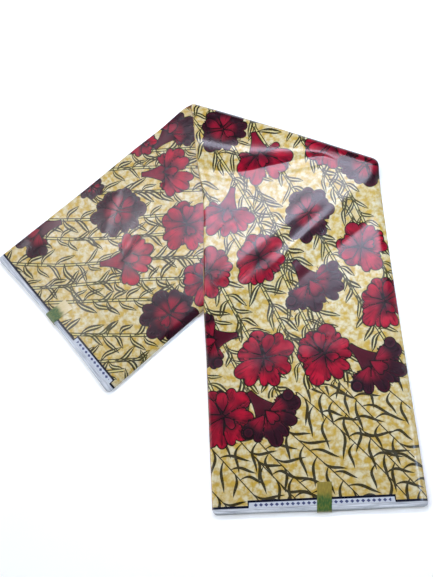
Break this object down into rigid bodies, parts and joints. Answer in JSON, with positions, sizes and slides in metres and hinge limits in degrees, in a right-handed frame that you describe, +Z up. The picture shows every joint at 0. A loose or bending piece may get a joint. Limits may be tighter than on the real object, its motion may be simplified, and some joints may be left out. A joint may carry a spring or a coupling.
{
  "type": "folded wax print fabric",
  "caption": "Length of glossy flowered wax print cotton, folded lengthwise into a flat pile and turned once on a slant into two legs.",
  "frame": {"origin": "middle of the footprint's box, on the surface that the cloth lies on", "axes": "+Z up; +Y along the right leg from its selvedge end towards the slanted fold; +X to the right"},
  "size_m": [0.6788, 0.7406, 0.036],
  "materials": {
    "printed_cloth": "waxed, glossy, printed with crimson and wine flowers and dark leaf sprays on mottled gold",
    "inner_plies": "waxed print seen at its folds",
    "woven_edge": "unprinted white selvedge",
    "paper_band": "plain olive and green film"
  },
  "bodies": {
    "root": {"left_leg_ply": "printed_cloth", "fold_turn_ply": "printed_cloth", "right_leg_ply": "printed_cloth", "hidden_layers": "inner_plies", "left_selvedges": "woven_edge", "right_selvedges": "woven_edge", "left_end_band": "paper_band", "right_end_band": "paper_band"}
  },
  "joints": []
}
